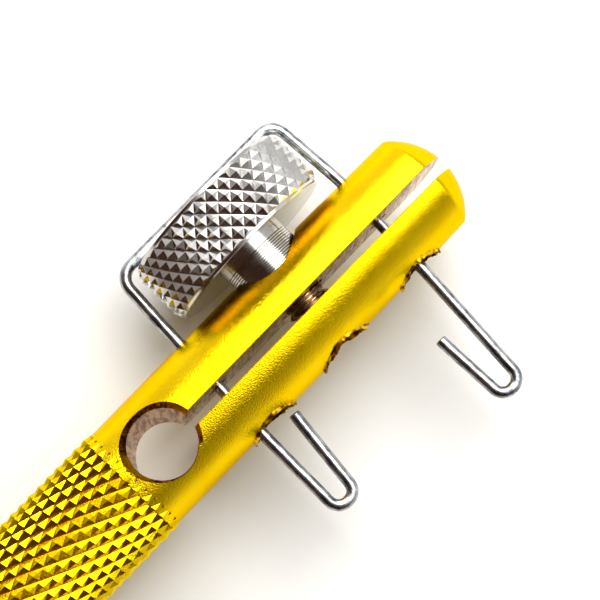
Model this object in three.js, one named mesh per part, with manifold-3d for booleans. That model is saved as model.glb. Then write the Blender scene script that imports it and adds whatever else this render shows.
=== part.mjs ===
// Hand tool for holding fish hooks and tying line to them, in millimetres.
// A slotted aluminium rod forms two jaws. A thumb wheel and its screw squeeze them together, and one
// bent wire slides through both jaws: a bail round the wheel on one side, two J hooks on the other.
//
// Frame: +X runs along the rod from its butt to its domed tip, +Y points to the thumb wheel, and +Z
// runs along the depth of the slot. The origin is the centre of the flat butt face.

import * as THREE from "three";
import { mergeVertices } from "three/addons/utils/BufferGeometryUtils.js";
import Module from "manifold-3d";

// Rod
const LENGTH = 118;
const ROD_RADIUS = 6;
const BUTT_RADIUS = 5.2;
const BUTT_CHAMFER = 0.8;
const GRIP_RADIUS = 6.25; // over the crests of the knurl
const GRIP_START = 4;
const GRIP_CHAMFER = 0.25;
const DOME_HEIGHT = 2.75;
const DOME_X = LENGTH - DOME_HEIGHT;
const TIP_RADIUS = 5.7; // the jaws thin slightly towards the dome
const ROD_SIDES = 64;
const DOME_STEPS = 8;

// Slot and the relief hole at its end
const RELIEF_X = 78.5;
const RELIEF_RADIUS = 3.5;
const COUNTERSINK_START = 5.45; // distance from the rod's axis where the relief hole starts to flare
const RELIEF_TILT = THREE.MathUtils.degToRad(4.8); // the hole leans away from the slot's plane
const SLOT_WIDTH = 1.5;
const SLOT_Y = -0.25; // the slot lies a little off the rod's centre, so the flexing jaw is the thicker one
const GRIP_END = RELIEF_X - 4;

// Clamp screw: thumb wheel, its boss and the threaded stud
const SCREW_X = RELIEF_X + 20;
const TAPER_X = SCREW_X - 4;
const WHEEL_RADIUS = 9.85; // over the crests of its knurl
const WHEEL_INNER_Y = 7.45;
const WHEEL_OUTER_Y = 14.1;
const WHEEL_CHAMFER = 0.4;
const BOSS_RADIUS = 3.95;
const BOSS_END_Y = 2.8;
const STUD_RADIUS = 2.45;
const STUD_CHAMFER = 0.4;
const STUD_END_Y = -4.8;
const STUD_TOP_Y = 11.7;
const STUD_CLEARANCE = 0.3;
const BOSS_CLEARANCE = 0.3;
const BOSS_SEAT_Y = 2.6;
const SPOT_X = SCREW_X - 0.7; // the spot face where the stud's hole leaves the fixed jaw, a little off centre
const SPOT_RADIUS = 2.95;
const SPOT_FLOOR_Y = -5;
const WHEEL_SIDES = 72;
const HOLE_SIDES = 48;

// Bent wire. Its corners are measured along X from the relief hole.
const WIRE_RADIUS = 0.6;
const WIRE_SIDES = 10;
const WIRE_STEPS = 150;
const WIRE_HOLE_RADIUS = 1.15;
const HOOK_BEND = 1.27; // centre-line radius of each half of a J's bend
const BAIL_BEND = 1.7;
const SOFT_BEND = 12; // the slight set of the legs where they leave the rod
const WIRE_CORNERS = [
  { x: 11.2, y: -6.7, bend: 0 }, // end of the short J
  { x: 9.95, y: -16.4, bend: HOOK_BEND },
  { x: 7.4, y: -16.4, bend: HOOK_BEND },
  { x: 7.69, y: -5.8, bend: SOFT_BEND },
  { x: 8.34, y: 6, bend: SOFT_BEND },
  { x: 9, y: 15, bend: BAIL_BEND },
  { x: 30.6, y: 15, bend: BAIL_BEND },
  { x: 31.05, y: 6, bend: SOFT_BEND },
  { x: 30.4, y: -5.8, bend: SOFT_BEND },
  { x: 29.2, y: -20.4, bend: HOOK_BEND },
  { x: 26.65, y: -20.4, bend: HOOK_BEND },
  { x: 26.45, y: -12, bend: 0 }, // end of the long J
];

// Holes for the legs: a clearance hole through both jaws, and a wide counterbore in the fixed jaw
// that a J can be drawn into.
const LEGS = [
  { hole: 8, counterbore: 9.25, radius: 2.75 },
  { hole: 30.7, counterbore: 30.05, radius: 2.65 },
];
const COUNTERBORE_FLOOR_Y = -2.4;

const OUTSIDE = 10; // any distance beyond the rod's surface, for tools that cut right through

const GOLD = { color: 0xd8b400, roughness: 0.28, metalness: 1 };
const NICKEL = { color: 0xc9c9c6, roughness: 0.2, metalness: 1 };
const STEEL = { color: 0xa9adae, roughness: 0.3, metalness: 1 };

const wasm = await Module();
wasm.setup();

// A closed three.js geometry as a manifold-3d solid.
function solidFrom(geometry) {
  const bare = geometry.clone();
  bare.deleteAttribute("normal");
  bare.deleteAttribute("uv");
  const merged = mergeVertices(bare, 1e-4);
  return new wasm.Manifold(
    new wasm.Mesh({
      numProp: 3,
      vertProperties: merged.getAttribute("position").array,
      triVerts: new Uint32Array(merged.index.array),
    }),
  );
}

function geometryFrom(solid) {
  const mesh = solid.getMesh();
  const geometry = new THREE.BufferGeometry();
  geometry.setAttribute("position", new THREE.BufferAttribute(mesh.vertProperties, 3));
  geometry.setIndex(new THREE.BufferAttribute(mesh.triVerts, 1));
  geometry.computeVertexNormals();
  return geometry;
}

function part(name, geometry, look) {
  const mesh = new THREE.Mesh(geometry, new THREE.MeshStandardMaterial(look));
  mesh.name = name;
  return mesh;
}

function boxSolid(low, high) {
  const geometry = new THREE.BoxGeometry(high.x - low.x, high.y - low.y, high.z - low.z);
  geometry.translate((low.x + high.x) / 2, (low.y + high.y) / 2, (low.z + high.z) / 2);
  return solidFrom(geometry);
}

// A drill along Y at a distance x along the rod.
function drillSolid(x, radius, fromY, toY) {
  const geometry = new THREE.CylinderGeometry(radius, radius, toY - fromY, HOLE_SIDES);
  geometry.translate(x, (fromY + toY) / 2, 0);
  return solidFrom(geometry);
}

// The rod is turned: its profile is revolved and laid along X.
function barSolid() {
  const sphereRadius = (TIP_RADIUS ** 2 + DOME_HEIGHT ** 2) / (2 * DOME_HEIGHT);
  const domeAngle = Math.asin(TIP_RADIUS / sphereRadius);
  const profile = [
    new THREE.Vector2(0, 0),
    new THREE.Vector2(BUTT_RADIUS, 0),
    new THREE.Vector2(ROD_RADIUS, BUTT_CHAMFER),
    new THREE.Vector2(ROD_RADIUS, GRIP_START),
    new THREE.Vector2(GRIP_RADIUS, GRIP_START + GRIP_CHAMFER),
    new THREE.Vector2(GRIP_RADIUS, GRIP_END - GRIP_CHAMFER),
    new THREE.Vector2(ROD_RADIUS, GRIP_END),
    new THREE.Vector2(ROD_RADIUS, TAPER_X),
  ];
  for (let step = 0; step < DOME_STEPS; step++) {
    const angle = domeAngle * (1 - step / DOME_STEPS);
    const height = LENGTH - sphereRadius * (1 - Math.cos(angle));
    profile.push(new THREE.Vector2(sphereRadius * Math.sin(angle), height));
  }
  profile.push(new THREE.Vector2(0, LENGTH));
  const geometry = new THREE.LatheGeometry(profile, ROD_SIDES);
  geometry.rotateZ(-Math.PI / 2);
  return solidFrom(geometry);
}

function slotSolid() {
  const half = SLOT_WIDTH / 2;
  return boxSolid(
    new THREE.Vector3(RELIEF_X, SLOT_Y - half, -OUTSIDE),
    new THREE.Vector3(LENGTH + OUTSIDE, SLOT_Y + half, OUTSIDE),
  );
}

// The relief hole, countersunk from both sides.
function reliefSolid() {
  const flare = RELIEF_RADIUS + OUTSIDE - COUNTERSINK_START;
  const profile = [
    new THREE.Vector2(0, -OUTSIDE),
    new THREE.Vector2(flare, -OUTSIDE),
    new THREE.Vector2(RELIEF_RADIUS, -COUNTERSINK_START),
    new THREE.Vector2(RELIEF_RADIUS, COUNTERSINK_START),
    new THREE.Vector2(flare, OUTSIDE),
    new THREE.Vector2(0, OUTSIDE),
  ];
  const geometry = new THREE.LatheGeometry(profile, HOLE_SIDES);
  geometry.rotateX(Math.PI / 2 - RELIEF_TILT);
  geometry.translate(RELIEF_X, SLOT_Y, 0);
  return solidFrom(geometry);
}

// Everything that is drilled across the jaws.
function crossHoles() {
  const holes = [
    drillSolid(SCREW_X, STUD_RADIUS + STUD_CLEARANCE, -OUTSIDE, OUTSIDE),
    drillSolid(SCREW_X, BOSS_RADIUS + BOSS_CLEARANCE, BOSS_SEAT_Y, OUTSIDE),
    drillSolid(SPOT_X, SPOT_RADIUS, -OUTSIDE, SPOT_FLOOR_Y),
  ];
  for (const leg of LEGS) {
    holes.push(drillSolid(RELIEF_X + leg.hole, WIRE_HOLE_RADIUS, -OUTSIDE, OUTSIDE));
    holes.push(drillSolid(RELIEF_X + leg.counterbore, leg.radius, -OUTSIDE, COUNTERBORE_FLOOR_Y));
  }
  return holes;
}

// The machined rod in two pieces that meet in the thin web beside the relief hole, where the jaw flexes.
function rodPieces() {
  let rod = barSolid().subtract(slotSolid()).subtract(reliefSolid());
  for (const hole of crossHoles()) {
    rod = rod.subtract(hole);
  }
  const jawSpace = boxSolid(
    new THREE.Vector3(RELIEF_X, SLOT_Y, -OUTSIDE),
    new THREE.Vector3(LENGTH + OUTSIDE, OUTSIDE, OUTSIDE),
  );
  return { body: rod.subtract(jawSpace), jaw: rod.intersect(jawSpace) };
}

// The wheel and its boss are one turned piece with a blind bore for the stud.
function thumbWheel() {
  const boreRadius = STUD_RADIUS + STUD_CLEARANCE;
  const boreTop = STUD_TOP_Y + STUD_CLEARANCE;
  const profile = [
    new THREE.Vector2(0, boreTop),
    new THREE.Vector2(boreRadius, boreTop),
    new THREE.Vector2(boreRadius, BOSS_END_Y),
    new THREE.Vector2(BOSS_RADIUS, BOSS_END_Y),
    new THREE.Vector2(BOSS_RADIUS, WHEEL_INNER_Y),
    new THREE.Vector2(WHEEL_RADIUS - WHEEL_CHAMFER, WHEEL_INNER_Y),
    new THREE.Vector2(WHEEL_RADIUS, WHEEL_INNER_Y + WHEEL_CHAMFER),
    new THREE.Vector2(WHEEL_RADIUS, WHEEL_OUTER_Y - WHEEL_CHAMFER),
    new THREE.Vector2(WHEEL_RADIUS - WHEEL_CHAMFER, WHEEL_OUTER_Y),
    new THREE.Vector2(0, WHEEL_OUTER_Y),
  ];
  return new THREE.LatheGeometry(profile, WHEEL_SIDES);
}

function clampStud() {
  const profile = [
    new THREE.Vector2(0, STUD_END_Y),
    new THREE.Vector2(STUD_RADIUS - STUD_CHAMFER, STUD_END_Y),
    new THREE.Vector2(STUD_RADIUS, STUD_END_Y + STUD_CHAMFER),
    new THREE.Vector2(STUD_RADIUS, STUD_TOP_Y),
    new THREE.Vector2(0, STUD_TOP_Y),
  ];
  return new THREE.LatheGeometry(profile, HOLE_SIDES);
}

// The wire's centre line: straight runs joined by round bends.
function wirePath() {
  const corners = WIRE_CORNERS.map((c) => new THREE.Vector3(RELIEF_X + c.x, c.y, 0));
  const path = new THREE.CurvePath();
  let start = corners[0];
  for (let i = 1; i < corners.length - 1; i++) {
    const before = new THREE.Vector3().subVectors(corners[i - 1], corners[i]).normalize();
    const after = new THREE.Vector3().subVectors(corners[i + 1], corners[i]).normalize();
    const halfAngle = before.angleTo(after) / 2;
    const bend = WIRE_CORNERS[i].bend;
    const reach = bend / Math.tan(halfAngle);
    const entry = corners[i].clone().addScaledVector(before, reach);
    const leave = corners[i].clone().addScaledVector(after, reach);
    path.add(new THREE.LineCurve3(start, entry));
    path.add(arcBetween(corners[i], before, after, bend, halfAngle));
    start = leave;
  }
  path.add(new THREE.LineCurve3(start, corners[corners.length - 1]));
  return path;
}

// A round bend of the given radius, tangent to the two directions that leave the corner.
function arcBetween(corner, before, after, bend, halfAngle) {
  const toCentre = before.clone().add(after).normalize();
  const centre = corner.clone().addScaledVector(toCentre, bend / Math.sin(halfAngle));
  const sweep = Math.PI / 2 - halfAngle;
  const side = before.clone().sub(after).normalize();
  const arc = new THREE.Curve();
  arc.getPoint = (t) => {
    const angle = sweep * (1 - 2 * t);
    return centre
      .clone()
      .addScaledVector(toCentre, -bend * Math.cos(angle))
      .addScaledVector(side, bend * Math.sin(angle));
  };
  return arc;
}

function wireBail() {
  const section = new THREE.Shape();
  section.absarc(0, 0, WIRE_RADIUS, 0, 2 * Math.PI);
  return new THREE.ExtrudeGeometry(section, {
    steps: WIRE_STEPS,
    curveSegments: WIRE_SIDES / 2,
    extrudePath: wirePath(),
  });
}

// The wheel's and the stud's profiles are drawn about the screw's own axis.
function onScrewAxis(mesh) {
  mesh.position.x = SCREW_X;
  return mesh;
}

const rod = rodPieces();
const tool = new THREE.Group();
tool.add(part("rod_body", geometryFrom(rod.body), GOLD));
tool.add(part("clamp_jaw", geometryFrom(rod.jaw), GOLD));
tool.add(onScrewAxis(part("thumb_wheel", thumbWheel(), NICKEL)));
tool.add(onScrewAxis(part("clamp_stud", clampStud(), STEEL)));
tool.add(part("wire_bail", wireBail(), STEEL));

export default tool;
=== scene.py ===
"""Looks for the hook and line tying tool: a knurled and slotted rod, its thumb wheel and its wire bail.

Pieces are made in millimetres about the CAD frame's own axes and scaled to metres as they become meshes.
"""

import math

import bmesh
import bpy
import numpy as np
from mathutils import Matrix, Vector, noise


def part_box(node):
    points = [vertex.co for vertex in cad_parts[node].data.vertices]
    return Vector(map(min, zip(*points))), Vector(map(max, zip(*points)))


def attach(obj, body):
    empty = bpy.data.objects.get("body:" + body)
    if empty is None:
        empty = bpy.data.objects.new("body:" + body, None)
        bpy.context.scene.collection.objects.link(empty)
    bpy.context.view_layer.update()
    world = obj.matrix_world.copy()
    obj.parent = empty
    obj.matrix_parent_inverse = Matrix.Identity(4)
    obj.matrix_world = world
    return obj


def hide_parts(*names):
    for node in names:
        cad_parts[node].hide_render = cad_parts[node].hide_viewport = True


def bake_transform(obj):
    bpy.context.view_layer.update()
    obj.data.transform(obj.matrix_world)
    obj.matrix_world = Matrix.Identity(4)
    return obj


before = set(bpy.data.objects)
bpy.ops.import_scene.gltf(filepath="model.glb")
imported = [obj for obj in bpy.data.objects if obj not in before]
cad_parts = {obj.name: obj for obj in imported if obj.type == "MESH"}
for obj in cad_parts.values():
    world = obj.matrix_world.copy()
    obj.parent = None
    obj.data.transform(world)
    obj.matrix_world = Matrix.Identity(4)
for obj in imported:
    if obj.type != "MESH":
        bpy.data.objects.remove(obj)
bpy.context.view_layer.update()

MM = 0.001


def box_mm(node):
    low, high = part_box(node)
    return low / MM, high / MM


_, ROD_HIGH = box_mm("rod_body")
JAW_LOW, _ = box_mm("clamp_jaw")
WHEEL_LOW, WHEEL_HIGH = box_mm("thumb_wheel")
STUD_LOW, STUD_HIGH = box_mm("clamp_stud")

# Rod
LENGTH = 118.0
GRIP_RADIUS = ROD_HIGH.z
ROD_RADIUS = 6.0
TIP_RADIUS = 5.7
BUTT_RADIUS = 5.2
BUTT_CHAMFER = 0.8
GRIP_START = 4.0
DOME_HEIGHT = 2.75
DOME_X = LENGTH - DOME_HEIGHT
DOME_EDGE = 0.25  # how far the rounded edge between the side and the dome reaches
DOME_EDGE_BOW = (0.25, 0.08)  # its middle point, back from the dome's foot and in from the side, as shares
SPHERE_RADIUS = (TIP_RADIUS**2 + DOME_HEIGHT**2) / (2 * DOME_HEIGHT)
RELIEF_X = JAW_LOW.x
RELIEF_RADIUS = 3.5
RELIEF_TILT = math.radians(4.8)
RELIEF_TO_GRIP = 4.0
GRIP_END = RELIEF_X - RELIEF_TO_GRIP
GRIP_BEVEL = 0.3
SLOT_WIDTH = 1.5
SLOT_Y = -0.25
OUTSIDE = 12.0  # well beyond the rod's surface
OVERLAP = 1.0  # how far two pieces run into each other before they are joined or trimmed
PROUD = 0.01  # an envelope's clearance over the knurl's crests

# Clamp screw
SCREW_X = (WHEEL_LOW.x + WHEEL_HIGH.x) / 2
TAPER_TO_SCREW = 4.0
TAPER_X = SCREW_X - TAPER_TO_SCREW
WHEEL_RADIUS = WHEEL_HIGH.z
WHEEL_OUTER_Y = WHEEL_HIGH.y
WHEEL_INNER_Y = 7.45
WHEEL_BAND = 0.35  # the plain band between the knurl and each face
WHEEL_BAND_RADIUS = WHEEL_RADIUS - 0.5
WHEEL_BREAK = 0.08  # the bevel between the band and each face
CENTRE_MARK = (0.9, 0.35)  # radius and depth of the mark in the wheel's outer face
BOSS_RADIUS = 3.95
BOSS_END_Y = WHEEL_LOW.y
BOSS_GROOVE_PITCH = 0.25
BOSS_GROOVE_DEPTH = 0.12
BOSS_COLLAR = 0.55
BOSS_BEVEL = 0.3
BOSS_LAND = 0.05  # the plain strip between the bevel and the first groove
BOSS_ROOT = 0.3  # how far the boss runs into the wheel
BOSS_SEAT_Y = 2.6
BOSS_BORE_RADIUS = 4.25
STUD_RADIUS = STUD_HIGH.x - SCREW_X
STUD_BORE_RADIUS = 2.75
STUD_END_Y = STUD_LOW.y
SPOT_X = SCREW_X - 0.7
SPOT_RADIUS = 2.95
SPOT_FLOOR_Y = -5.0
THREAD_PITCH = 0.8
THREAD_DEPTH = 0.42
THREAD_FLANK = 1.25  # how fast the depth grows over half a pitch
THREAD_CREST = 0.12  # how much of that growth the flat crest takes away
STUD_POINT = 0.5  # the taper at the stud's end
STUD_GAP = 0.05  # between the stud and the boss

# Wire
WIRE_RADIUS = 0.6
WIRE_END_BEVEL = 0.12
WIRE_STEP = 0.6  # the longest straight stretch between two sections
HOOK_BEND = 1.27
BAIL_BEND = 1.7
SOFT_BEND = 12.0
# Each corner is x from the relief hole, y, and the radius of the bend there
WIRE_CORNERS = (
    (11.2, -6.7, 0),
    (9.95, -16.4, HOOK_BEND),
    (7.4, -16.4, HOOK_BEND),
    (7.69, -5.8, SOFT_BEND),
    (8.34, 6.0, SOFT_BEND),
    (9.0, 15.0, BAIL_BEND),
    (30.6, 15.0, BAIL_BEND),
    (31.05, 6.0, SOFT_BEND),
    (30.4, -5.8, SOFT_BEND),
    (29.2, -20.4, HOOK_BEND),
    (26.65, -20.4, HOOK_BEND),
    (26.45, -12.0, 0),
)
WIRE_HOLE_RADIUS = 1.15
WIRE_HOLES = (8.0, 30.7)
COUNTERBORES = ((9.25, 2.75), (30.05, 2.65))  # x from the relief hole, radius
COUNTERBORE_FLOOR_Y = -2.4

# Widths of the chamfers, and the uncut lip in the relief hole's countersink
FAR_COUNTERSINK_WIDTH = 0.5
BOSS_RIM_WIDTH = 0.22
FINE_RIM_WIDTH = 0.1
COUNTERSINK_WIDTHS = (0.5, 0.65)  # towards the tip and towards the butt
COUNTERSINK_STEEPNESS = 2.0  # depth over width
LIP_START = 46.0  # degrees round the relief hole from the tip, and the same for the end
LIP_END = 170.0
LIP_SHARE = 0.85  # how much of the countersink's width the lip leaves uncut

# Burrs
BURR_HEIGHT = 0.24
BURR_LEAST = 0.05  # the least height
BURR_THICKNESS = 0.16
BURR_ROOT = 0.15  # how deep a burr is rooted in the rod

# How a face of the rod is told apart
SIDE_TOLERANCE = 0.004  # how far a point of the turned side may lie from its true radius
SKIN_DEPTH = 0.05  # the outside is no deeper than this
CHAMFER_DEPTH = 1.3  # a chamfer is no deeper than this
CHAMFER_COSINE = 0.3  # the least cosine between a chamfer's normal and straight outwards

# Knurls: how many grooves each way, their angle to the axis and their depths
GRIP_KNURL = {"grooves": 29, "angle": math.radians(28.5), "deep": 0.46, "shallow": 0.36}
WHEEL_KNURL = {"grooves": 36, "angle": math.radians(45), "deep": 0.5, "shallow": 0.44}

# How finely the meshes are divided
ROUND_SIDES = 192
SIDE_ROWS = 48
DOME_STEPS = 24
HOLE_SIDES = 96
BOSS_SIDES = 128
STUD_SIDES = 64
THREAD_STEPS = 16  # rows of points to one pitch
WIRE_SIDES = 20
BEND_STEPS = 4  # the fewest to a bend
BEND_TURN = math.radians(4)  # half of what the wire turns in one step of a longer bend
SMOOTH_BELOW = math.radians(28)
BURR_SMOOTH_BELOW = math.radians(40)


# ---------------------------------------------------------------- meshes


def mesh_object(name, points, faces):
    """A mesh object from points in millimetres, with its faces turned outwards."""
    mesh = bpy.data.meshes.new(name)
    mesh.from_pydata([Vector(p) * MM for p in points], [], faces)
    shape = bmesh.new()
    shape.from_mesh(mesh)
    bmesh.ops.recalc_face_normals(shape, faces=shape.faces)
    shape.to_mesh(mesh)
    shape.free()
    made = bpy.data.objects.new(name, mesh)
    bpy.context.scene.collection.objects.link(made)
    return made


def about_x(along, radius, angle):
    return (along, radius * math.sin(angle), radius * math.cos(angle))


def about_screw(along, radius, angle):
    return (SCREW_X + radius * math.sin(angle), along, radius * math.cos(angle))


def turned(name, profile, place, sides=ROUND_SIDES):
    """A solid of revolution. The profile's points are (along, radius), and its two ends lie on the axis."""
    points = [place(profile[0][0], 0, 0)]
    for along, radius in profile[1:-1]:
        points += [place(along, radius, 2 * math.pi * i / sides) for i in range(sides)]
    points.append(place(profile[-1][0], 0, 0))
    last = len(points) - 1
    top = last - sides
    faces = []
    for i in range(sides):
        after = (i + 1) % sides
        faces.append((0, 1 + i, 1 + after))
        faces.append((last, top + after, top + i))
        for row in range(len(profile) - 3):
            low = 1 + row * sides
            high = low + sides
            faces.append((low + i, high + i, high + after, low + after))
    return mesh_object(name, points, faces)


def prism(name, low, high):
    """A box from its lowest to its highest corner."""
    points = [(x, y, z) for x in (low[0], high[0]) for y in (low[1], high[1]) for z in (low[2], high[2])]
    faces = [(0, 1, 3, 2), (4, 6, 7, 5), (0, 4, 5, 1), (2, 3, 7, 6), (0, 2, 6, 4), (1, 5, 7, 3)]
    return mesh_object(name, points, faces)


def drill(name, centre, axis, radius, depth):
    """A cylinder that starts at centre and runs along axis."""
    turn = Vector(axis).to_track_quat("Z", "X")
    rings = [(0, t) for t in range(HOLE_SIDES)] + [(depth, t) for t in range(HOLE_SIDES)]
    points = []
    for height, step in rings:
        angle = 2 * math.pi * step / HOLE_SIDES
        spot = Vector((radius * math.cos(angle), radius * math.sin(angle), height))
        points.append(Vector(centre) + turn @ spot)
    faces = [tuple(range(HOLE_SIDES)), tuple(range(HOLE_SIDES, 2 * HOLE_SIDES))]
    for i in range(HOLE_SIDES):
        after = (i + 1) % HOLE_SIDES
        faces.append((i, after, HOLE_SIDES + after, HOLE_SIDES + i))
    return mesh_object(name, points, faces)


def knurled(name, start, end, radius, place, grooves, angle, deep, shallow):
    """A closed cylinder covered in diamonds, where two families of V grooves cross at an angle to the axis.

    u and v count grooves of each family. Each diamond has its crest in the middle and four flat faces. The
    second family is shallower, so its grooves stop short of the first family's.
    """
    twist = grooves * math.tan(angle) / (2 * math.pi * radius)
    short = 0.5 * (1 - shallow / deep)
    index = {}
    points = []

    def corner(u, v, drop):
        key = (round((u + v) % (2 * grooves), 6) % (2 * grooves), round(u - v, 6))
        if key not in index:
            index[key] = len(points)
            points.append(place((u - v) / (2 * twist), radius - drop, math.pi * (u + v) / grooves))
        return index[key]

    faces = []
    first = math.floor(2 * twist * start)
    last = math.ceil(2 * twist * end)
    for across in range(first, last + 1):
        for around in range(grooves):
            v = around
            u = v + across
            crest = corner(u + 0.5, v + 0.5, 0)
            near = [corner(u, v, deep), corner(u + 1, v, deep)]
            far = [corner(u, v + 1, deep), corner(u + 1, v + 1, deep)]
            near_notch = [corner(u + short, v, shallow), corner(u + 1 - short, v, shallow)]
            far_notch = [corner(u + short, v + 1, shallow), corner(u + 1 - short, v + 1, shallow)]
            faces.append((near_notch[0], near_notch[1], crest))
            faces.append((far_notch[1], far_notch[0], crest))
            faces.append((near[0], near_notch[0], crest, far_notch[0], far[0]))
            faces.append((near[1], far[1], far_notch[1], crest, near_notch[1]))
    close_ends(points, faces, place, (start + end) / 2)
    return mesh_object(name, points, faces)


def close_ends(points, faces, place, middle):
    """Fans each open end of a tube of faces to a point on its axis."""
    seen = {}
    for face in faces:
        for a, b in zip(face, face[1:] + face[:1]):
            seen[frozenset((a, b))] = seen.get(frozenset((a, b)), 0) + 1
    origin = Vector(place(0, 0, 0))
    direction = Vector(place(1, 0, 0)) - origin
    heights = [(Vector(p) - origin).dot(direction) for p in points]
    low = len(points)
    points.append(place(min(heights), 0, 0))
    high = len(points)
    points.append(place(max(heights), 0, 0))
    for edge, count in seen.items():
        if count == 1:
            a, b = edge
            faces.append((a, b, low if heights[a] < middle else high))


def combine(target, tools, operation):
    """Cuts, joins or intersects the target with each tool, and removes the tools."""
    for tool in tools:
        step = target.modifiers.new(operation, "BOOLEAN")
        step.operation = operation
        step.solver = "MANIFOLD"
        step.object = tool
        bpy.context.view_layer.update()
        evaluated = target.evaluated_get(bpy.context.evaluated_depsgraph_get())
        result = bpy.data.meshes.new_from_object(evaluated)
        target.modifiers.clear()
        target.data = result
        bpy.data.objects.remove(tool)
    return target


def duplicate(source, name):
    made = bpy.data.objects.new(name, source.data.copy())
    bpy.context.scene.collection.objects.link(made)
    return made


# ---------------------------------------------------------------- rod


def rod_radius(x):
    """The turned side's radius at x, before the dome."""
    share = min(max((x - TAPER_X) / (DOME_X - TAPER_X), 0), 1)
    return ROD_RADIUS + share * (TIP_RADIUS - ROD_RADIUS)


def dome_profile():
    """The rounded edge and the dome, from the side to the apex."""
    full = math.asin(TIP_RADIUS / SPHERE_RADIUS)
    edge = DOME_EDGE / SPHERE_RADIUS
    short, inwards = DOME_EDGE_BOW
    outline = [
        (DOME_X - DOME_EDGE, rod_radius(DOME_X - DOME_EDGE)),
        (DOME_X - short * DOME_EDGE, TIP_RADIUS - inwards * DOME_EDGE),
    ]
    for step in range(DOME_STEPS):
        angle = (full - edge) * (1 - step / DOME_STEPS)
        height = LENGTH - SPHERE_RADIUS * (1 - math.cos(angle))
        outline.append((height, SPHERE_RADIUS * math.sin(angle)))
    return outline + [(LENGTH, 0)]


def machined_bar():
    """The smooth part of the rod, from inside the grip to the dome."""
    start = GRIP_END - OVERLAP
    profile = [(start, 0), (start, ROD_RADIUS)]
    for row in range(1, SIDE_ROWS):
        x = start + (DOME_X - DOME_EDGE - start) * row / SIDE_ROWS
        profile.append((x, rod_radius(x)))
    return turned("machined_bar", profile + dome_profile(), about_x)


def rim(centre, axis, radius):
    """Points round the edge where a drilled hole leaves the rod.

    Each comes with the two directions that bound the metal there: down the hole's wall, and over the rod's
    surface away from the hole.
    """
    out = Vector(axis).normalized()
    side = Vector((1, 0, 0))
    across = out.cross(side)
    edge = []
    for step in range(HOLE_SIDES):
        angle = 2 * math.pi * step / HOLE_SIDES
        away = side * math.cos(angle) + across * math.sin(angle)
        start = Vector(centre) + away * radius
        reach = rod_radius(start.x)
        slope = out.y * start.y + out.z * start.z
        steep = out.y**2 + out.z**2
        level = start.y**2 + start.z**2 - reach**2
        travel = (-slope + math.sqrt(slope**2 - steep * level)) / steep
        spot = start + out * travel
        normal = Vector((0, spot.y, spot.z)).normalized()
        over = (away - normal * away.dot(normal)).normalized()
        edge.append((spot, -out, over))
    return edge


def chamfer_cutter(name, edge, widths, closed, steepness=1.0):
    """A ribbon of triangular section that takes the sharp corner off an edge.

    It overshoots by spread along the chamfer and by reach away from the metal, both as shares of its width.
    """
    spread = 0.5
    reach = 1.6
    points = []
    for (spot, down, over), width in zip(edge, widths):
        wall = spot + down * width * steepness
        top = spot + over * width
        points.append(wall + (wall - top) * spread)
        points.append(top + (top - wall) * spread)
        points.append(spot - (down * steepness + over) * width * reach)
    count = len(edge)
    faces = []
    for i in range(count if closed else count - 1):
        a = 3 * i
        b = 3 * ((i + 1) % count)
        faces += [(a, a + 1, b + 1, b), (a + 1, a + 2, b + 2, b + 1), (a + 2, a, b, b + 2)]
    if not closed:
        faces += [(0, 1, 2), (3 * count - 3, 3 * count - 2, 3 * count - 1)]
    return mesh_object(name, points, faces)


def even(width):
    return [width] * HOLE_SIDES


def countersink():
    """Chamfer widths for the relief hole's countersink, which sits off centre, towards the butt.

    One stretch beside the slot was left almost uncut, as a lip that dies away towards the butt.
    """
    least, most = COUNTERSINK_WIDTHS
    widths = []
    for step in range(HOLE_SIDES):
        round_from_tip = 360 * (1 - step / HOLE_SIDES)
        towards_butt = -math.cos(math.radians(round_from_tip))
        width = least + (most - least) * max(0, towards_butt)
        share = (LIP_END - round_from_tip) / (LIP_END - LIP_START)
        if 0 < share <= 1:
            width *= 1 - LIP_SHARE * math.sqrt(share)
        widths.append(width)
    return widths


def slot_edges(width):
    """Cutters that break the slot's long edges, on both faces of the rod."""
    cutters = []
    for side in (-1, 1):
        y = SLOT_Y + side * SLOT_WIDTH / 2
        for up in (-1, 1):
            edge = []
            for x in (RELIEF_X, TAPER_X, DOME_X):
                z = up * math.sqrt(rod_radius(x) ** 2 - y**2)
                normal = Vector((0, y, z)).normalized()
                over = Vector((0, side, 0))
                over = (over - normal * over.dot(normal)).normalized()
                edge.append((Vector((x, y, z)), Vector((0, 0, -up)), over))
            cutters.append(chamfer_cutter("slot_edge", edge, [width] * len(edge), closed=False))
    return cutters


def relief_axis():
    return Vector((0, math.sin(RELIEF_TILT), math.cos(RELIEF_TILT)))


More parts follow.
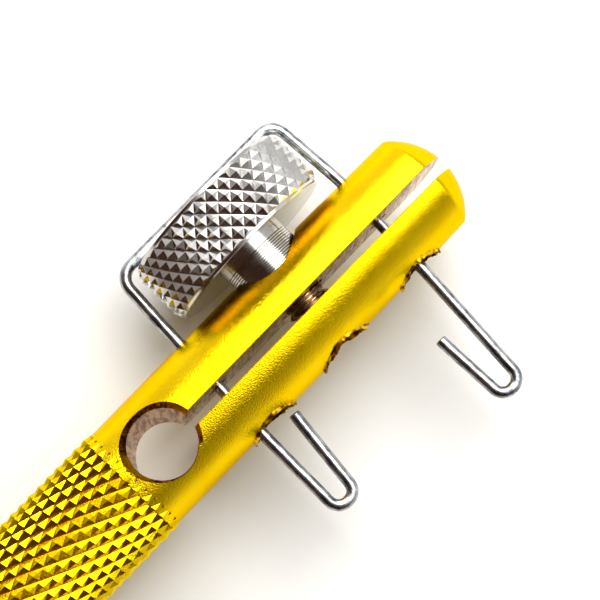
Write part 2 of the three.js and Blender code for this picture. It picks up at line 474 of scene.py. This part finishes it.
def drilled_rod():
    """The bar with its slot, relief hole, counterbores and cross holes, and the chamfers on their rims."""
    half = SLOT_WIDTH / 2
    up = Vector((0, 1, 0))
    tilted = relief_axis()
    relief = Vector((RELIEF_X, SLOT_Y, 0))
    screw = Vector((SCREW_X, 0, 0))
    cutters = [
        prism(
            "slot",
            (RELIEF_X, SLOT_Y - half, -OUTSIDE),
            (LENGTH + OUTSIDE, SLOT_Y + half, OUTSIDE),
        ),
        drill("relief", relief - tilted * OUTSIDE, tilted, RELIEF_RADIUS, 2 * OUTSIDE),
        drill("stud_bore", screw - up * OUTSIDE, up, STUD_BORE_RADIUS, 2 * OUTSIDE),
        drill("boss_bore", screw + up * BOSS_SEAT_Y, up, BOSS_BORE_RADIUS, OUTSIDE),
        drill("stud_spot", Vector((SPOT_X, SPOT_FLOOR_Y, 0)), -up, SPOT_RADIUS, OUTSIDE),
        chamfer_cutter(
            "relief_rim",
            rim(relief, tilted, RELIEF_RADIUS),
            countersink(),
            closed=True,
            steepness=COUNTERSINK_STEEPNESS,
        ),
        chamfer_cutter(
            "relief_far_rim",
            rim(relief, -tilted, RELIEF_RADIUS),
            even(FAR_COUNTERSINK_WIDTH),
            closed=True,
        ),
        chamfer_cutter("boss_rim", rim(screw, up, BOSS_BORE_RADIUS), even(BOSS_RIM_WIDTH), closed=True),
    ]
    for offset in WIRE_HOLES:
        hole = Vector((RELIEF_X + offset, 0, 0))
        cutters.append(drill("wire_hole", hole - up * OUTSIDE, up, WIRE_HOLE_RADIUS, 2 * OUTSIDE))
        edge = rim(hole, up, WIRE_HOLE_RADIUS)
        cutters.append(chamfer_cutter("wire_rim", edge, even(FINE_RIM_WIDTH), closed=True))
    for offset, radius in COUNTERBORES:
        hole = Vector((RELIEF_X + offset, COUNTERBORE_FLOOR_Y, 0))
        cutters.append(drill("counterbore", hole, -up, radius, OUTSIDE))
    cutters += slot_edges(FINE_RIM_WIDTH)
    return combine(machined_bar(), cutters, "DIFFERENCE")


def grip():
    """The knurled grip, trimmed to its length, with the turned butt and its chamfer."""
    knurl = knurled("grip", GRIP_START - OVERLAP, GRIP_END + OVERLAP, GRIP_RADIUS, about_x, **GRIP_KNURL)
    envelope = turned(
        "grip_envelope",
        [
            (GRIP_START, 0),
            (GRIP_START, GRIP_RADIUS - GRIP_BEVEL),
            (GRIP_START + GRIP_BEVEL, GRIP_RADIUS + PROUD),
            (GRIP_END - GRIP_BEVEL, GRIP_RADIUS + PROUD),
            (GRIP_END, GRIP_RADIUS - GRIP_BEVEL),
            (GRIP_END, 0),
        ],
        about_x,
    )
    combine(knurl, [envelope], "INTERSECT")
    butt_taper = 0.02
    butt = turned(
        "butt",
        [
            (0, 0),
            (0, BUTT_RADIUS),
            (BUTT_CHAMFER, ROD_RADIUS),
            (GRIP_START + OVERLAP, ROD_RADIUS - butt_taper),
            (GRIP_START + OVERLAP, 0),
        ],
        about_x,
    )
    return combine(knurl, [butt], "UNION")


def jaw_space():
    """The flexing jaw's room: everything past the relief hole's axis on the wheel's side of the slot."""
    return prism("jaw_space", (RELIEF_X, SLOT_Y, -OUTSIDE), (LENGTH + OUTSIDE, OUTSIDE, OUTSIDE))


def rod_pieces():
    """The body with the fixed jaw, and the flexing jaw. They meet in the web beside the relief hole."""
    body = drilled_rod()
    jaw = duplicate(body, "flexing_jaw")
    combine(jaw, [jaw_space()], "INTERSECT")
    combine(body, [jaw_space()], "DIFFERENCE")
    combine(body, [grip()], "UNION")
    body.name = "knurled_rod"
    return body, jaw


def on_side(point):
    """True where a point in millimetres lies on the rod's turned side."""
    x, y, z = point
    along = GRIP_END < x < DOME_X - DOME_EDGE + PROUD
    return along and abs(math.hypot(y, z) - rod_radius(x)) < SIDE_TOLERANCE


def cut_after_anodising(centre, normal):
    """True for a face that was sawn, drilled or bored, and not for the outside or a chamfer."""
    x, y, z = centre
    if x < GRIP_END:
        return False
    if x > DOME_X:
        reach = math.sqrt(max(SPHERE_RADIUS**2 - (SPHERE_RADIUS - LENGTH + x) ** 2, 0))
    else:
        reach = rod_radius(x)
    depth = reach - math.hypot(y, z)
    outwards = Vector((0, y, z)).normalized()
    chamfered = depth < CHAMFER_DEPTH and normal.dot(outwards) > CHAMFER_COSINE
    return depth > SKIN_DEPTH and not chamfered


def finish_rod(piece, gold, sawn):
    """Gives the outside and the cut faces their finishes, and the turned side its true round normals."""
    mesh = piece.data
    mesh.materials.clear()
    mesh.materials.append(gold)
    mesh.materials.append(sawn)
    mesh.shade_smooth()
    mesh.set_sharp_from_angle(angle=SMOOTH_BELOW)
    normals = np.empty(len(mesh.loops) * 3, np.float32)
    mesh.corner_normals.foreach_get("vector", normals)
    normals = normals.reshape(-1, 3)
    slope = (ROD_RADIUS - TIP_RADIUS) / (DOME_X - TAPER_X)
    for face in mesh.polygons:
        face.material_index = int(cut_after_anodising(face.center / MM, face.normal))
        spots = [mesh.vertices[v].co / MM for v in face.vertices]
        if all(on_side(spot) for spot in spots):
            for loop, spot in zip(face.loop_indices, spots):
                lean = slope if spot.x > TAPER_X else 0
                normals[loop] = Vector((lean * math.hypot(spot.y, spot.z), spot.y, spot.z)).normalized()
    mesh.normals_split_custom_set(normals)


# ---------------------------------------------------------------- burrs


def burr(name, centre, axis, radius, seed):
    """The ragged lip that a counterbore raises round its rim.

    A section's corners are given as how far they lie out from the rim and how far down into the rod.
    """
    sections = []
    for step, (spot, down, over) in enumerate(rim(centre, axis, radius)):
        angle = 2 * math.pi * step / HOLE_SIDES
        rough = noise.noise(Vector((2 * math.cos(angle), 2 * math.sin(angle), seed)))
        fine = noise.noise(Vector((8 * math.cos(angle), 8 * math.sin(angle), seed + 5)))
        height = max(BURR_LEAST, BURR_HEIGHT + 0.3 * rough + 0.2 * fine)
        thick = BURR_THICKNESS + 0.12 * rough
        section = (
            (-0.03, BURR_ROOT),
            (thick + 0.1, BURR_ROOT),
            (thick, -0.55 * height),
            (0.06 + 0.15 * fine, -height),
            (-0.05, -0.8 * height),
        )
        sections.append([spot + over * out + down * deep for out, deep in section])
    return ring(name, sections)


def ring(name, sections):
    """A closed ring skinned over cross sections that follow one another round an edge."""
    size = len(sections[0])
    points = [spot for section in sections for spot in section]
    count = len(sections)
    faces = []
    for i in range(count):
        a = size * i
        b = size * ((i + 1) % count)
        for k in range(size):
            after = (k + 1) % size
            faces.append((a + k, a + after, b + after, b + k))
    made = mesh_object(name, points, faces)
    made.data.shade_smooth()
    made.data.set_sharp_from_angle(angle=BURR_SMOOTH_BELOW)
    return made


# ---------------------------------------------------------------- wheel, stud and wire


def thumb_wheel():
    """The knurled wheel between its two plain bands, with its boss."""
    inner = WHEEL_INNER_Y
    outer = WHEEL_OUTER_Y
    wheel = knurled("wheel", inner - OVERLAP, outer + OVERLAP, WHEEL_RADIUS, about_screw, **WHEEL_KNURL)
    mark_radius, mark_depth = CENTRE_MARK
    envelope = turned(
        "wheel_envelope",
        [
            (inner, 0),
            (inner, WHEEL_BAND_RADIUS - WHEEL_BREAK),
            (inner + WHEEL_BREAK, WHEEL_BAND_RADIUS),
            (inner + WHEEL_BAND, WHEEL_BAND_RADIUS),
            (inner + 2 * WHEEL_BAND, WHEEL_RADIUS + PROUD),
            (outer - 2 * WHEEL_BAND, WHEEL_RADIUS + PROUD),
            (outer - WHEEL_BAND, WHEEL_BAND_RADIUS),
            (outer - WHEEL_BREAK, WHEEL_BAND_RADIUS),
            (outer, WHEEL_BAND_RADIUS - WHEEL_BREAK),
            (outer, mark_radius),
            (outer - mark_depth, 0),
        ],
        about_screw,
    )
    combine(wheel, [envelope], "INTERSECT")
    return combine(wheel, [boss()], "UNION")


def boss():
    """The boss with its fine turned grooves, and a plain collar under the wheel."""
    start = BOSS_END_Y
    root = WHEEL_INNER_Y + BOSS_ROOT
    first = start + BOSS_BEVEL + BOSS_LAND
    profile = [(start, 0), (start, BOSS_RADIUS - BOSS_BEVEL), (start + BOSS_BEVEL, BOSS_RADIUS)]
    grooves = int((WHEEL_INNER_Y - BOSS_COLLAR - start - BOSS_BEVEL) / BOSS_GROOVE_PITCH)
    for groove in range(grooves):
        for share, depth in ((0.2, 0), (0.5, BOSS_GROOVE_DEPTH), (0.8, 0)):
            profile.append((first + (groove + share) * BOSS_GROOVE_PITCH, BOSS_RADIUS - depth))
    profile += [(root, BOSS_RADIUS), (root, 0)]
    return turned("boss", profile, about_screw, sides=BOSS_SIDES)


def clamp_stud():
    """The stud with its thread, as one helical surface closed at both ends."""
    step = THREAD_PITCH / THREAD_STEPS
    rows = int((BOSS_END_Y - STUD_GAP - STUD_END_Y) / step)
    points = [about_screw(STUD_END_Y, 0, 0)]
    for row in range(rows + 1):
        y = STUD_END_Y + row * step
        for side in range(STUD_SIDES):
            turn = side / STUD_SIDES
            phase = (y / THREAD_PITCH + turn) % 1
            depth = THREAD_DEPTH * min(1, max(0, THREAD_FLANK * abs(2 * phase - 1) - THREAD_CREST))
            taper = max(0, STUD_POINT - (y - STUD_END_Y))
            points.append(about_screw(y, STUD_RADIUS - max(depth, taper), 2 * math.pi * turn))
    points.append(about_screw(STUD_END_Y + rows * step, 0, 0))
    last = len(points) - 1
    faces = []
    for side in range(STUD_SIDES):
        after = (side + 1) % STUD_SIDES
        faces.append((0, 1 + side, 1 + after))
        faces.append((last, last - STUD_SIDES + after, last - STUD_SIDES + side))
        for row in range(rows):
            low = 1 + row * STUD_SIDES
            high = low + STUD_SIDES
            faces.append((low + side, high + side, high + after, low + after))
    return mesh_object("threaded_stud", points, faces)


def wire_line():
    """The wire's centre line in millimetres, with straight runs between round bends."""
    corners = [Vector((RELIEF_X + x, y, 0)) for x, y, _ in WIRE_CORNERS]
    line = [corners[0]]
    for i in range(1, len(corners) - 1):
        before = (corners[i - 1] - corners[i]).normalized()
        after = (corners[i + 1] - corners[i]).normalized()
        bend = WIRE_CORNERS[i][2]
        half = before.angle(after) / 2
        inward = (before + after).normalized()
        centre = corners[i] + inward * (bend / math.sin(half))
        sweep = math.pi / 2 - half
        side = (before - after).normalized()
        steps = max(BEND_STEPS, int(sweep / BEND_TURN))
        for step in range(steps + 1):
            angle = sweep * (1 - 2 * step / steps)
            spot = centre - inward * (bend * math.cos(angle)) + side * (bend * math.sin(angle))
            line.append(spot)
    return line + [corners[-1]]


def spaced(line, step):
    """The same line with points no further than step apart."""
    made = [line[0]]
    for a, b in zip(line, line[1:]):
        parts = max(1, int((b - a).length / step))
        made += [a.lerp(b, k / parts) for k in range(1, parts + 1)]
    return made


def wire():
    """A round wire swept along its line, with its two cut ends lightly bevelled."""
    line = spaced(wire_line(), WIRE_STEP)
    count = len(line)
    rings = []
    for i, spot in enumerate(line):
        ahead = (line[min(i + 1, count - 1)] - line[max(i - 1, 0)]).normalized()
        rings.append((spot, ahead, WIRE_RADIUS))
    bevel = WIRE_END_BEVEL
    first, last = rings[0], rings[-1]
    rings[0] = (first[0] + first[1] * bevel, first[1], WIRE_RADIUS)
    rings.insert(0, (first[0], first[1], WIRE_RADIUS - bevel))
    rings[-1] = (last[0] - last[1] * bevel, last[1], WIRE_RADIUS)
    rings.append((last[0], last[1], WIRE_RADIUS - bevel))
    upright = Vector((0, 0, 1))
    points = []
    for spot, ahead, radius in rings:
        across = upright.cross(ahead).normalized()
        for side in range(WIRE_SIDES):
            angle = 2 * math.pi * side / WIRE_SIDES
            points.append(spot + across * (radius * math.cos(angle)) + upright * (radius * math.sin(angle)))
    faces = [tuple(range(WIRE_SIDES)), tuple(range(len(points) - WIRE_SIDES, len(points)))]
    for low in range(0, len(points) - WIRE_SIDES, WIRE_SIDES):
        high = low + WIRE_SIDES
        for side in range(WIRE_SIDES):
            after = (side + 1) % WIRE_SIDES
            faces.append((low + side, low + after, high + after, high + side))
    return mesh_object("bent_wire", points, faces)


def smooth(piece, material):
    """Gives a piece its material, and smooth shading between its sharp edges."""
    piece.data.materials.clear()
    piece.data.materials.append(material)
    piece.data.shade_smooth()
    piece.data.set_sharp_from_angle(angle=SMOOTH_BELOW)
    return piece


# ---------------------------------------------------------------- materials


class Shader:
    """A material's node tree, with short calls for the nodes used here."""

    def __init__(self, name):
        self.material = bpy.data.materials.new(name)
        self.material.use_nodes = True
        self.tree = self.material.node_tree
        self.surface = self.tree.nodes["Principled BSDF"]

    def node(self, kind, **settings):
        made = self.tree.nodes.new(kind)
        for key, value in settings.items():
            setattr(made, key, value)
        return made

    def link(self, output, socket):
        self.tree.links.new(output, socket)

    def stretched(self, scale):
        """Object coordinates scaled on each axis, so that a pattern can be drawn out along one of them."""
        where = self.node("ShaderNodeTexCoord")
        mapping = self.node("ShaderNodeMapping")
        mapping.inputs["Scale"].default_value = scale
        self.link(where.outputs["Object"], mapping.inputs["Vector"])
        return mapping.outputs["Vector"]

    def grain(self, scale, detail=3.0, roughness=0.5):
        """Noise whose features are about 1/scale metres across on each axis."""
        made = self.node("ShaderNodeTexNoise")
        made.inputs["Scale"].default_value = 1.0
        made.inputs["Detail"].default_value = detail
        made.inputs["Roughness"].default_value = roughness
        self.link(self.stretched(scale), made.inputs["Vector"])
        return made.outputs["Fac"]

    def ramp(self, value, stops):
        """A colour ramp. Each stop is (position, colour)."""
        made = self.node("ShaderNodeValToRGB")
        elements = made.color_ramp.elements
        while len(elements) < len(stops):
            elements.new(0.5)
        for element, (position, colour) in zip(elements, stops):
            element.position = position
            element.color = (*colour, 1)
        self.link(value, made.inputs["Fac"])
        return made.outputs["Color"]

    def span(self, value, low, high):
        """Maps 0.3..0.7, where noise mostly lies, to low..high."""
        made = self.node("ShaderNodeMapRange")
        made.inputs["From Min"].default_value = 0.3
        made.inputs["From Max"].default_value = 0.7
        made.inputs["To Min"].default_value = low
        made.inputs["To Max"].default_value = high
        self.link(value, made.inputs["Value"])
        return made.outputs["Result"]

    def bump(self, height, distance, strength, normal=None):
        made = self.node("ShaderNodeBump")
        made.inputs["Distance"].default_value = distance
        made.inputs["Strength"].default_value = strength
        self.link(height, made.inputs["Height"])
        if normal is not None:
            self.link(normal, made.inputs["Normal"])
        return made.outputs["Normal"]

    def metal(self, colour, roughness, normal):
        self.surface.inputs["Metallic"].default_value = 1.0
        self.link(colour, self.surface.inputs["Base Color"])
        self.link(roughness, self.surface.inputs["Roughness"])
        self.link(normal, self.surface.inputs["Normal"])
        return self.material


def gold_anodised():
    """Turned and anodised aluminium: a deep yellow with fine rings round the rod and a faint speckle."""
    shader = Shader("gold_anodised")
    tone = shader.grain((180, 260, 260), detail=4)
    colour = shader.ramp(tone, ((0.3, (0.84, 0.57, 0.003)), (0.7, (0.90, 0.64, 0.010))))
    roughness = shader.span(shader.grain((900, 500, 500)), 0.15, 0.25)
    rings = shader.bump(shader.grain((9000, 160, 160), detail=2), 0.00002, 0.15)
    normal = shader.bump(shader.grain((6500, 8000, 8000), detail=1), 0.000035, 0.8, rings)
    shader.surface.inputs["Specular Tint"].default_value = (1.0, 0.8, 0.35, 1)
    return shader.metal(colour, roughness, normal)


def sawn_aluminium_painted_shade_and_reflection():
    """Faces cut after anodising: bare metal, dull, streaked across, coloured with painted shade and a
    painted warm reflection of the gold.
    """
    shader = Shader("sawn_aluminium_painted_shade_and_reflection")
    tone = shader.grain((2400, 2400, 160), detail=3)
    # Painted light: the dark maroon stop is painted shade, and the tan stop is a painted warm reflection of
    # the gold round the cut faces.
    colour = shader.ramp(tone, ((0.42, (0.26, 0.09, 0.02)), (0.58, (0.76, 0.50, 0.26))))
    roughness = shader.span(shader.grain((2500, 2500, 700)), 0.16, 0.32)
    normal = shader.bump(shader.grain((2400, 2400, 160), detail=3), 0.00015, 1.0)
    return shader.metal(colour, roughness, normal)


def burr_gold_painted_shade():
    """The burrs: torn gold metal, with reddish-brown patches of painted shade and painted dark reflection.
    """
    shader = Shader("burr_gold_painted_shade")
    tone = shader.grain((1200, 1200, 1200), detail=3)
    # Painted light: the dark maroon and reddish-brown stops are painted shade and painted dark reflections;
    # only the gold stop is the metal's own colour.
    stops = ((0.4, (0.16, 0.04, 0.006)), (0.5, (0.55, 0.28, 0.01)), (0.58, (0.9, 0.63, 0.03)))
    colour = shader.ramp(tone, stops)
    roughness = shader.span(shader.grain((2500, 2500, 2500)), 0.25, 0.45)
    normal = shader.bump(shader.grain((2500, 2500, 2500)), 0.00004, 0.4)
    return shader.metal(colour, roughness, normal)


def nickel_plate():
    """Bright nickel: nearly mirror smooth, with faint clouding and fine turning rings."""
    shader = Shader("nickel_plate")
    tone = shader.grain((350, 350, 350), detail=4)
    colour = shader.ramp(tone, ((0.3, (0.60, 0.585, 0.56)), (0.7, (0.70, 0.69, 0.67))))
    roughness = shader.span(shader.grain((700, 700, 700)), 0.12, 0.22)
    normal = shader.bump(shader.grain((1800, 1800, 1800), detail=3), 0.00002, 0.25)
    return shader.metal(colour, roughness, normal)


def steel_painted_gold_reflection():
    """The stud's machine thread: bright steel, whose golden brown is a painted reflection of the gold jaws
    round it.
    """
    shader = Shader("steel_painted_gold_reflection")
    tone = shader.grain((800, 2400, 800), detail=3)
    # Painted reflection: the golden-brown stops stand in for the gold jaws that the steel reflects.
    colour = shader.ramp(tone, ((0.3, (0.42, 0.32, 0.20)), (0.7, (0.72, 0.61, 0.44))))
    roughness = shader.span(shader.grain((1500, 3000, 1500)), 0.2, 0.34)
    normal = shader.bump(shader.grain((3000, 5000, 3000)), 0.00002, 0.4)
    return shader.metal(colour, roughness, normal)


def drawn_wire():
    """Zinc-plated wire, drawn smooth, with small dark patches where the plating is thin."""
    shader = Shader("drawn_wire")
    blotch = shader.grain((1300, 700, 1300), detail=5, roughness=0.6)
    stops = ((0.38, (0.20, 0.21, 0.22)), (0.5, (0.42, 0.43, 0.44)), (0.64, (0.55, 0.56, 0.57)))
    colour = shader.ramp(blotch, stops)
    roughness = shader.span(shader.grain((1600, 500, 1600)), 0.34, 0.2)
    draw_lines = shader.bump(shader.grain((6000, 300, 6000), detail=2), 0.00002, 0.3)
    normal = shader.bump(blotch, 0.00003, 0.4, draw_lines)
    return shader.metal(colour, roughness, normal)


def pale_floor():
    """The studio's matt sheet."""
    shader = Shader("pale_floor")
    tone = shader.grain((30, 30, 30), detail=3)
    colour = shader.ramp(tone, ((0.3, (0.79, 0.79, 0.775)), (0.7, (0.81, 0.81, 0.795))))
    shader.link(colour, shader.surface.inputs["Base Color"])
    shader.surface.inputs["Roughness"].default_value = 0.7
    return shader.material


# ---------------------------------------------------------------- set


# The camera's and the lights' places and sizes are in metres, and the rest in millimetres
CAMERA_PLACE = (0.07080, -0.01671, 0.23233)
CAMERA_TURN = (7.791, -1.596, -46.179)  # degrees about X, Y and Z
CAMERA_LENS = 143.0
CAMERA_SENSOR = 36.0
FLOOR_GAP = 0.05
FLOOR_HALF_WIDTH = 3000.0
LIGHT_DISTANCE = 0.45
KEY_TOWARDS = (0.41, 0.40, 0.82)
KEY_SIZE = (0.46, 0.36)  # across the rod, along the rod
KEY_POWER = 2.7
FILL_TOWARDS = (0.41, -0.30, 0.86)
FILL_SIZE = (0.36, 0.36)
FILL_POWER = 0.72
VIEW_GAMMA = 0.88
TENT_DIM = (0.09, 0.045, 0.03)
TENT_BRIGHT = (0.80, 0.80, 0.80)
TENT_EDGES = (-0.4, 0.35)
GLOW_TOWARDS = (-0.1, 1.0, 0.1)
GLOW_COSINES = (math.cos(math.radians(50)), math.cos(math.radians(15)))
GLOW_LEVEL = 0.4
SEAM_TOWARDS = (0.1, -0.8, 0.6)
SEAM_COSINES = (math.cos(math.radians(26)), math.cos(math.radians(10)))
SEAM_SHARES = (1.0, 0.6)


def camera():
    """The photograph's view: a long lens from above the jaws."""
    data = bpy.data.cameras.new("camera")
    data.sensor_width = CAMERA_SENSOR
    data.lens = CAMERA_LENS
    data.clip_start = 0.01
    made = bpy.data.objects.new("camera", data)
    made.location = CAMERA_PLACE
    made.rotation_euler = [math.radians(a) for a in CAMERA_TURN]
    bpy.context.scene.collection.objects.link(made)
    bpy.context.scene.camera = made


def floor():
    """A wide level floor just under the wheel's rim."""
    size = FLOOR_HALF_WIDTH * MM
    corners = [(-size, -size, 0), (size, -size, 0), (size, size, 0), (-size, size, 0)]
    mesh = bpy.data.meshes.new("floor")
    mesh.from_pydata(corners, [], [(0, 1, 2, 3)])
    mesh.materials.append(pale_floor())
    made = bpy.data.objects.new("floor", mesh)
    made.location.z = -(WHEEL_RADIUS + FLOOR_GAP) * MM
    bpy.context.scene.collection.objects.link(made)


def softbox(name, towards, size, power):
    """A rectangular area light that faces the jaws from one direction, with its sides square to the rod."""
    data = bpy.data.lights.new(name, "AREA")
    data.shape = "RECTANGLE"
    data.size, data.size_y = size
    data.energy = power
    made = bpy.data.objects.new(name, data)
    back = Vector(towards).normalized()
    across = back.cross(Vector((1, 0, 0))).normalized()
    turn = Matrix((across, back.cross(across), back)).transposed()
    place = Vector((SCREW_X, 0, 0)) * MM + back * LIGHT_DISTANCE
    made.matrix_world = Matrix.Translation(place) @ turn.to_4x4()
    made.visible_camera = False
    bpy.context.scene.collection.objects.link(made)


def tent():
    """A pale studio tent, brightest towards the tip and dim and warm towards the butt.

    It has a darker seam on the fixed jaw's side and a faint glow on the wheel's side.
    """
    world = bpy.data.worlds.new("tent")
    world.use_nodes = True
    tree = world.node_tree
    where = tree.nodes.new("ShaderNodeTexCoord")
    sweep = tent_part(tree, where, (1, 0, 0), TENT_EDGES, (0.0, 1.0))
    tones = tree.nodes.new("ShaderNodeValToRGB")
    tones.color_ramp.elements[0].color = (*TENT_DIM, 1)
    tones.color_ramp.elements[1].color = (*TENT_BRIGHT, 1)
    tree.links.new(sweep, tones.inputs["Fac"])
    seam = tent_part(tree, where, SEAM_TOWARDS, SEAM_COSINES, SEAM_SHARES)
    shaded = tree.nodes.new("ShaderNodeVectorMath")
    shaded.operation = "SCALE"
    tree.links.new(tones.outputs["Color"], shaded.inputs[0])
    tree.links.new(seam, shaded.inputs["Scale"])
    glow = tent_part(tree, where, GLOW_TOWARDS, GLOW_COSINES, (0.0, GLOW_LEVEL))
    lit = tree.nodes.new("ShaderNodeVectorMath")
    lit.operation = "ADD"
    tree.links.new(shaded.outputs["Vector"], lit.inputs[0])
    tree.links.new(glow, lit.inputs[1])
    tree.links.new(lit.outputs["Vector"], tree.nodes["Background"].inputs["Color"])
    bpy.context.scene.world = world


def tent_part(tree, where, towards, cosines, levels):
    """A smooth step between two levels, by the cosine of the angle from a direction."""
    facing = tree.nodes.new("ShaderNodeVectorMath")
    facing.operation = "DOT_PRODUCT"
    facing.inputs[1].default_value = Vector(towards).normalized()
    step = tree.nodes.new("ShaderNodeMapRange")
    step.interpolation_type = "SMOOTHSTEP"
    for socket, value in zip(("From Min", "From Max", "To Min", "To Max"), (*cosines, *levels)):
        step.inputs[socket].default_value = value
    tree.links.new(where.outputs["Generated"], facing.inputs[0])
    tree.links.new(facing.outputs["Value"], step.inputs["Value"])
    return step.outputs["Result"]


def studio():
    """The tent and two softboxes side by side overhead, the brighter one on the wheel's side."""
    tent()
    softbox("key", KEY_TOWARDS, KEY_SIZE, KEY_POWER)
    softbox("fill", FILL_TOWARDS, FILL_SIZE, FILL_POWER)
    bpy.context.scene.view_settings.view_transform = "Standard"
    bpy.context.scene.view_settings.gamma = VIEW_GAMMA


# ---------------------------------------------------------------- assembly


def build_rod():
    """The body rides the handle. The jaw stays in place as a piece of its own, cut off beside the relief
    hole.
    """
    gold = gold_anodised()
    sawn = sawn_aluminium_painted_shade_and_reflection()
    body, jaw = rod_pieces()
    finish_rod(body, gold, sawn)
    finish_rod(jaw, gold, sawn)
    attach(body, "handle")
    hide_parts("rod_body")
    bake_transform(jaw)
    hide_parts("clamp_jaw")


def build_burrs():
    """One burr round the stud's spot face and one round each of the wire's counterbores."""
    burr_painted_shade = burr_gold_painted_shade()
    down = Vector((0, -1, 0))
    holes = [(SPOT_X, SPOT_RADIUS), *((RELIEF_X + x, radius) for x, radius in COUNTERBORES)]
    for number, (x, radius) in enumerate(holes):
        lip = burr(f"burr_{number}", Vector((x, 0, 0)), down, radius, seed=3.0 * number)
        lip.data.materials.append(burr_painted_shade)
        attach(lip, "handle")


def build_clamp():
    """The thumb wheel, which spins, and the stud, which slides without turning."""
    wheel = smooth(thumb_wheel(), nickel_plate())
    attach(wheel, "wheel")
    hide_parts("thumb_wheel")

    stud = smooth(clamp_stud(), steel_painted_gold_reflection())
    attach(stud, "screw")
    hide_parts("clamp_stud")


def build_bail():
    """The wire, which slides in its two cross holes."""
    bail = smooth(wire(), drawn_wire())
    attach(bail, "bail")
    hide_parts("wire_bail")


camera()
floor()
studio()
build_rod()
build_burrs()
build_clamp()
build_bail()
